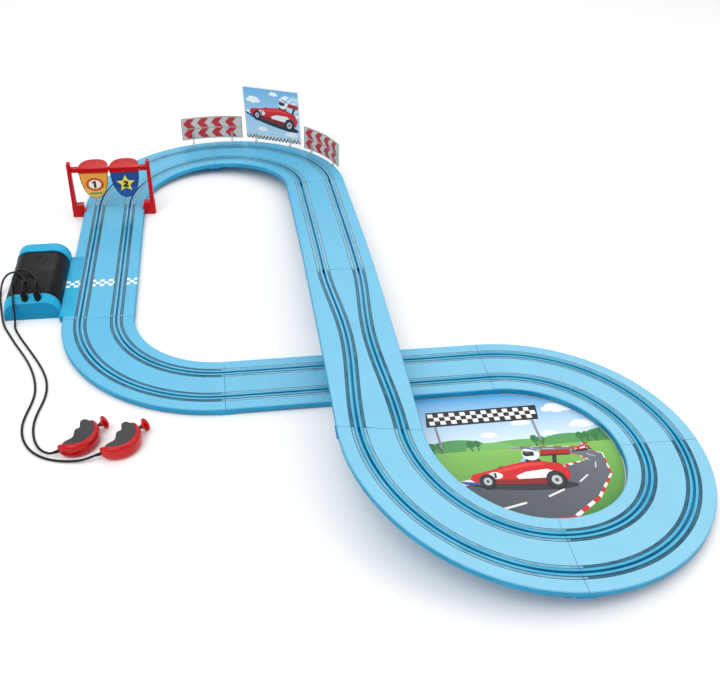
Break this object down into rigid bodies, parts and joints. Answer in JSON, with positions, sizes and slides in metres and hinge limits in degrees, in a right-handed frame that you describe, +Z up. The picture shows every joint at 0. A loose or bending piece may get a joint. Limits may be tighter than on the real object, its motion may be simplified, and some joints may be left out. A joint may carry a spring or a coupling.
{
  "type": "slot car track set",
  "caption": "Two-lane slot car figure-eight track with a raised bridge, battery housing, two plunger hand controllers on cords, and a start gantry with spinning lap shields.",
  "frame": {"origin": "middle of the underside of the laid-out set, without its hand controllers' cords and plugs", "axes": "+X across the layout from the battery housing's side to the loop's side, +Y along it from the loop to the panels, +Z up"},
  "size_m": [0.8593, 1.0988, 0.1311],
  "materials": {
    "track": "satin light blue moulded plastic",
    "rail": "dull flat steel strip",
    "skirt_plastic": "satin cyan blue plastic",
    "card": "matt printed card",
    "panel": "printed plastic sheet, soft sheen",
    "clear": "clear moulded plastic",
    "gantry": "glossy red plastic",
    "hood": "glossy red plastic",
    "shield_orange": "printed sheet, soft sheen",
    "shield_navy": "printed sheet, soft sheen",
    "housing": "satin cyan plastic",
    "housing_under": "matt blue plastic",
    "black_plastic": "glossy black plastic",
    "cell_wrap": "glossy printed sleeve",
    "contact": "bright spring brass",
    "board": "green circuit board",
    "screw_steel": "bright plated steel",
    "cord": "soft black rubber",
    "red_plastic": "glossy red plastic",
    "grip": "matt grey soft-touch plastic",
    "rod": "smooth black plastic"
  },
  "bodies": {
    "track_set": {"connecting_straight": "track", "top_curve_west": "track", "top_curve_east": "track", "ramp_straight": "track", "bridge_narrows": "track", "loop_curve_west": "track", "loop_curve_south": "track", "loop_curve_east": "track", "underpass_straight": "track", "corner_curve": "track", "connecting_rails": "rail", "top_west_rails": "rail", "top_east_rails": "rail", "ramp_rails": "rail", "bridge_rails": "rail", "loop_west_rails": "rail", "loop_south_rails": "rail", "loop_east_rails": "rail", "underpass_rails": "rail", "corner_rails": "rail", "joint_clips": "skirt_plastic", "bridge_piers": "skirt_plastic", "pier_shoulder": "skirt_plastic", "pier_loop": "skirt_plastic", "pier_top": "skirt_plastic", "infield_card": "card", "chevron_panel_west": "panel", "chevron_panel_east": "panel", "billboard": "panel", "panel_clips": "clear", "gantry_posts": "gantry", "gantry_bar": "gantry", "battery_housing": "housing", "housing_base": "housing_under", "battery_lid": "black_plastic", "battery_cells": "cell_wrap", "battery_contacts": "contact", "control_sockets": "black_plastic", "power_board": "board", "housing_screws": "screw_steel", "plug_left": "black_plastic", "plug_right": "black_plastic", "cord_left": "cord", "cord_right": "cord", "controller_base_left": "red_plastic", "controller_cover_left": "red_plastic", "controller_grip_left": "grip", "controller_base_right": "red_plastic", "controller_cover_right": "red_plastic", "controller_grip_right": "grip", "plunger_springs": "screw_steel", "controller_contacts": "contact"},
    "spinner_left": {"spinner_hood_left": "hood", "spinner_shield_left": "shield_orange"},
    "spinner_right": {"spinner_hood_right": "hood", "spinner_shield_right": "shield_navy"},
    "plunger_left": {"plunger_left": "rod", "plunger_knob_left": "red_plastic"},
    "plunger_right": {"plunger_right": "rod", "plunger_knob_right": "red_plastic"}
  },
  "joints": [
    {"name": "spinner_left_turn", "type": "hinge", "parent": "track_set", "child": "spinner_left", "pos_m": [-0.31745, 0.31961, 0.0805], "axis": [1, 0, 0], "continuous": true},
    {"name": "spinner_right_turn", "type": "hinge", "parent": "track_set", "child": "spinner_right", "pos_m": [-0.26895, 0.31961, 0.0805], "axis": [1, 0, 0], "continuous": true},
    {"name": "plunger_left_press", "type": "slide", "parent": "track_set", "child": "plunger_left", "axis": [-0.809, -0.5878, 0], "range_m": [0, 0.006], "stiffness_N_per_m": 250},
    {"name": "plunger_right_press", "type": "slide", "parent": "track_set", "child": "plunger_right", "axis": [-0.809, -0.5878, 0], "range_m": [0, 0.006], "stiffness_N_per_m": 250}
  ]
}
